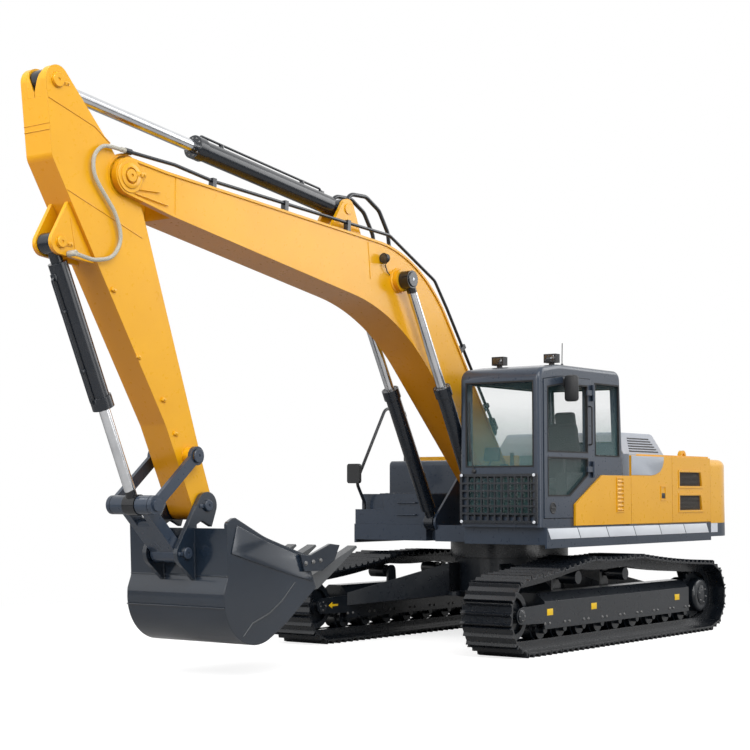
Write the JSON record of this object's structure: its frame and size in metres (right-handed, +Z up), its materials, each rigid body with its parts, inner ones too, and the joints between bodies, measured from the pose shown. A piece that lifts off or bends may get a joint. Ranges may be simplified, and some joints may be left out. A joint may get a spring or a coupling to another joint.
{
  "type": "crawler mining excavator",
  "caption": "Crawler mining excavator with a slewing cab and counterweight, a two-limb boom, arm and toothed bucket, driven by coupled hydraulic cylinders.",
  "frame": {"origin": "on the ground under the middle of the machine's length and width", "axes": "+X forward from the counterweight to the boom's tip, +Y to the cab's side, +Z up"},
  "size_m": [10.7734, 3.19, 5.2456],
  "materials": {
    "charcoal_paint": "satin",
    "track_steel": "rough",
    "yellow_paint": "satin",
    "glass": "clear",
    "cab_plastic": "matte",
    "black_paint": "gloss",
    "seat_fabric": "matte",
    "lamp_shell": "gloss",
    "grey_paint": "satin",
    "chrome_rod": "polished",
    "hose_rubber": "matte"
  },
  "bodies": {
    "undercarriage": {"car_body": "charcoal_paint", "slew_ring": "track_steel", "left_track": "track_steel", "right_track": "track_steel", "left_track_frame": "charcoal_paint", "right_track_frame": "charcoal_paint", "sprockets": "charcoal_paint", "idlers": "charcoal_paint", "track_rollers": "charcoal_paint"},
    "upper": {"main_frame": "charcoal_paint", "counterweight": "yellow_paint", "cab_frame": "charcoal_paint", "cab_glass": "glass", "front_guard": "black_paint", "operator_seat": "seat_fabric", "control_consoles": "cab_plastic", "roof_lamps": "lamp_shell", "engine_housing": "charcoal_paint", "engine": "grey_paint", "cab_side_panel": "yellow_paint", "deck_skirts": "charcoal_paint", "fuel_tank": "charcoal_paint", "tool_box": "charcoal_paint", "guard_rail": "black_paint", "right_mirror": "cab_plastic"},
    "cab_door": {"cab_door": "charcoal_paint", "cab_door_glass": "glass", "left_mirror": "cab_plastic"},
    "engine_hood": {"engine_hood": "grey_paint"},
    "service_door": {"service_door": "yellow_paint"},
    "radiator_door": {"radiator_door": "yellow_paint"},
    "pump_door": {"pump_door": "yellow_paint"},
    "boom": {"boom": "yellow_paint", "boom_pipes": "black_paint"},
    "boom_barrels": {"boom_cylinder_barrels": "black_paint"},
    "boom_rods": {"boom_cylinder_rods": "chrome_rod"},
    "arm_barrel": {"arm_cylinder_barrel": "black_paint"},
    "arm_rod": {"arm_cylinder_rod": "chrome_rod"},
    "arm": {"arm": "yellow_paint", "arm_hoses": "hose_rubber"},
    "bucket_barrel": {"bucket_cylinder_barrel": "black_paint"},
    "bucket_rod": {"bucket_cylinder_rod": "chrome_rod"},
    "rocker": {"rocker_links": "charcoal_paint"},
    "bucket": {"bucket": "charcoal_paint", "bucket_teeth": "track_steel"},
    "bucket_link": {"bucket_link": "charcoal_paint"}
  },
  "joints": [
    {"name": "slew", "type": "hinge", "parent": "undercarriage", "child": "upper", "pos_m": [-2.06, 0, 1.125], "axis": [0, 0, 1], "continuous": true},
    {"name": "boom_lift", "type": "hinge", "parent": "upper", "child": "boom", "pos_m": [-1.58, 0, 1.8], "axis": [0, -1, 0], "range_deg": [-66, 42]},
    {"name": "boom_barrel_swing", "type": "hinge", "parent": "upper", "child": "boom_barrels", "pos_m": [-0.97, 0, 1.34], "axis": [0, -1, 0], "range_deg": [-67.67, 43.24]},
    {"name": "boom_rod_slide", "type": "slide", "parent": "boom_barrels", "child": "boom_rods", "axis": [0.4874, 0, 0.8732], "range_m": [-0.757, 0.485]},
    {"name": "arm_swing", "type": "hinge", "parent": "boom", "child": "arm", "pos_m": [4.465, 0, 4.42], "axis": [0, -1, 0], "range_deg": [0, 105], "deforming": ["arm_hoses"]},
    {"name": "arm_barrel_swing", "type": "hinge", "parent": "boom", "child": "arm_barrel", "pos_m": [1.22, 0, 4.595], "axis": [0, -1, 0], "range_deg": [-0.5, 2.89]},
    {"name": "arm_rod_slide", "type": "slide", "parent": "arm_barrel", "child": "arm_rod", "axis": [0.9917, 0, 0.1285], "range_m": [-1.678, 0.01]},
    {"name": "bucket_curl", "type": "hinge", "parent": "arm", "child": "bucket", "pos_m": [3.42988, 0, 1.5574], "axis": [0, -1, 0], "range_deg": [-80, 75]},
    {"name": "bucket_barrel_swing", "type": "hinge", "parent": "arm", "child": "bucket_barrel", "pos_m": [5.15838, 0, 3.76732], "axis": [0, -1, 0], "range_deg": [-2.5, 2.38]},
    {"name": "bucket_rod_slide", "type": "slide", "parent": "bucket_barrel", "child": "bucket_rod", "axis": [-0.4184, 0, -0.9083], "range_m": [-0.527, 0.562]},
    {"name": "rocker_swing", "type": "hinge", "parent": "arm", "child": "rocker", "pos_m": [3.62968, 0, 2.00408], "axis": [0, -1, 0], "range_deg": [-50.9, 47.75]},
    {"name": "bucket_link_swing", "type": "hinge", "parent": "bucket", "child": "bucket_link", "pos_m": [3.69988, 0, 1.1354], "axis": [0, -1, 0], "range_deg": [-52.25, 55.7]},
    {"name": "cab_door_swing", "type": "hinge", "parent": "upper", "child": "cab_door", "pos_m": [-1.435, 1.492, 1.9], "axis": [0, 0, 1], "range_deg": [0, 155]},
    {"name": "service_door_swing", "type": "hinge", "parent": "upper", "child": "service_door", "pos_m": [-2.304, 1.492, 1.7], "axis": [0, 0, 1], "range_deg": [-105, 0]},
    {"name": "radiator_door_swing", "type": "hinge", "parent": "upper", "child": "radiator_door", "pos_m": [-4.386, 1.492, 1.7], "axis": [0, 0, 1], "range_deg": [0, 105]},
    {"name": "pump_door_swing", "type": "hinge", "parent": "upper", "child": "pump_door", "pos_m": [-3.344, -1.492, 1.7], "axis": [0, 0, 1], "range_deg": [0, 105]},
    {"name": "hood_lift", "type": "hinge", "parent": "upper", "child": "engine_hood", "pos_m": [-4.25, 0, 2.12], "axis": [0, -1, 0], "range_deg": [0, 65]}
  ],
  "couplings": [
    {"joint": "boom_barrel_swing", "follows": "boom_lift", "ratio": 1.0177},
    {"joint": "boom_rod_slide", "follows": "boom_lift", "m_per_rad": 0.6484},
    {"joint": "arm_barrel_swing", "follows": "arm_swing", "ratio": 0.0228},
    {"joint": "arm_rod_slide", "follows": "arm_swing", "m_per_rad": -0.9101},
    {"joint": "bucket_barrel_swing", "follows": "bucket_curl", "ratio": 0.025},
    {"joint": "bucket_rod_slide", "follows": "bucket_curl", "m_per_rad": -0.395},
    {"joint": "rocker_swing", "follows": "bucket_curl", "ratio": 0.63},
    {"joint": "bucket_link_swing", "follows": "bucket_curl", "ratio": -0.69}
  ]
}
